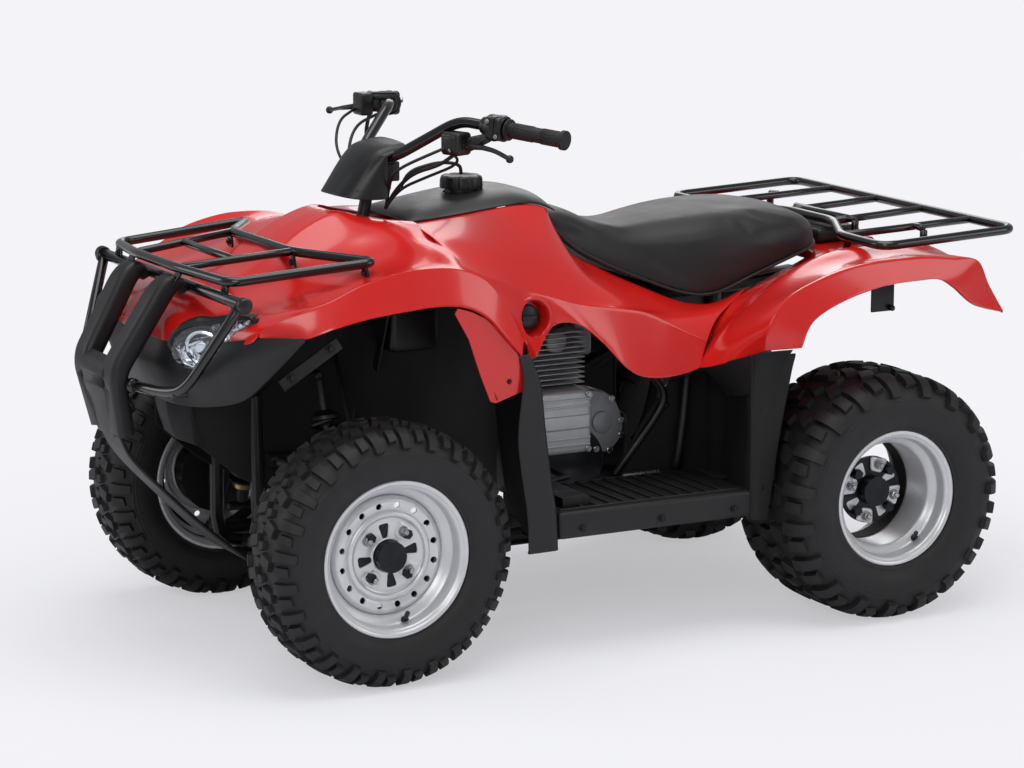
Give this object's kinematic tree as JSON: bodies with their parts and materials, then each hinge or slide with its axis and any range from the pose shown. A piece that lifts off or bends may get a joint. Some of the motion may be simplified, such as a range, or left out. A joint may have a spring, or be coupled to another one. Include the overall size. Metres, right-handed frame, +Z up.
{
  "type": "utility quad bike",
  "caption": "Utility quad bike with tubular front and rear racks, front bumper, straddle seat, handlebar steering and knobby balloon tyres.",
  "frame": {"origin": "on the ground under the middle of the vehicle's bounding box", "axes": "-Y forward, +X the vehicle's left, +Z up"},
  "size_m": [1.034, 1.902, 1.0648],
  "materials": {
    "black_steel": "gloss",
    "black_plastic": "matte textured",
    "red_plastic": "gloss",
    "engine_alloy": "satin painted cast",
    "bare_steel": "satin",
    "silver_wheel": "satin silver",
    "tyre": "matte",
    "seat_vinyl": "grained vinyl",
    "rubber": "matte",
    "lamp_lens": "clear",
    "tail_lens": "gloss"
  },
  "bodies": {
    "chassis": {"frame": "black_steel", "skid_plate": "black_plastic", "crankcase": "engine_alloy", "cylinder_block": "engine_alloy", "exhaust": "bare_steel", "front_bumper": "black_plastic", "bumper_tubes": "black_steel", "front_rack": "black_steel", "rear_rack": "black_steel", "front_fender": "red_plastic", "headlamp_surround": "black_plastic", "headlamps": "lamp_lens", "side_covers": "red_plastic", "tank_cover": "black_plastic", "fuel_cap": "black_plastic", "seat": "seat_vinyl", "rear_fender": "red_plastic", "rear_tray": "black_plastic", "tail_lamp": "tail_lens", "footwells": "black_plastic", "mudguards": "black_plastic", "foot_controls": "bare_steel", "front_arms": "black_steel", "front_shocks": "black_steel", "swing_arm": "black_steel", "rear_shock": "black_steel"},
    "steering": {"handlebar": "black_steel", "steering_stem": "black_steel", "handlebar_cover": "black_plastic", "grips": "rubber", "hand_controls": "black_plastic", "levers": "black_steel", "control_cables": "rubber"},
    "tie_rod_left": {"tie_rod_left": "bare_steel"},
    "tie_rod_right": {"tie_rod_right": "bare_steel"},
    "knuckle_left": {"knuckle_left": "black_steel"},
    "knuckle_right": {"knuckle_right": "black_steel"},
    "front_left_wheel": {"front_left_tyre": "tyre", "front_left_rim": "silver_wheel", "front_left_hub": "bare_steel"},
    "front_right_wheel": {"front_right_tyre": "tyre", "front_right_rim": "silver_wheel", "front_right_hub": "bare_steel"},
    "rear_axle": {"rear_axle": "bare_steel", "rear_left_tyre": "tyre", "rear_right_tyre": "tyre", "rear_rims": "silver_wheel", "rear_hubs": "bare_steel"}
  },
  "joints": [
    {"name": "steering", "type": "hinge", "parent": "chassis", "child": "steering", "pos_m": [0, -0.333, 0.968], "axis": [0, 0.2079, 0.9781], "range_deg": [-35, 35]},
    {"name": "knuckle_left", "type": "hinge", "parent": "chassis", "child": "knuckle_left", "pos_m": [0.34, -0.525, 0.258], "axis": [0, 0.2079, 0.9781], "range_deg": [-35, 35]},
    {"name": "knuckle_right", "type": "hinge", "parent": "chassis", "child": "knuckle_right", "pos_m": [-0.34, -0.525, 0.258], "axis": [0, 0.2079, 0.9781], "range_deg": [-35, 35]},
    {"name": "tie_rod_left", "type": "hinge", "parent": "steering", "child": "tie_rod_left", "pos_m": [0.022, -0.40811, 0.26833], "axis": [0, 0.2079, 0.9781], "range_deg": [-35, 35]},
    {"name": "tie_rod_right", "type": "hinge", "parent": "steering", "child": "tie_rod_right", "pos_m": [-0.022, -0.40811, 0.26833], "axis": [0, 0.2079, 0.9781], "range_deg": [-35, 35]},
    {"name": "front_left_wheel", "type": "hinge", "parent": "knuckle_left", "child": "front_left_wheel", "pos_m": [0.4075, -0.525, 0.258], "axis": [1, 0, 0], "continuous": true},
    {"name": "front_right_wheel", "type": "hinge", "parent": "knuckle_right", "child": "front_right_wheel", "pos_m": [-0.4075, -0.525, 0.258], "axis": [1, 0, 0], "continuous": true},
    {"name": "rear_axle", "type": "hinge", "parent": "chassis", "child": "rear_axle", "pos_m": [0, 0.606, 0.258], "axis": [1, 0, 0], "continuous": true}
  ],
  "couplings": [
    {"joint": "knuckle_left", "follows": "steering", "ratio": 1},
    {"joint": "knuckle_right", "follows": "steering", "ratio": 1},
    {"joint": "tie_rod_left", "follows": "steering", "ratio": -1},
    {"joint": "tie_rod_right", "follows": "steering", "ratio": -1}
  ]
}
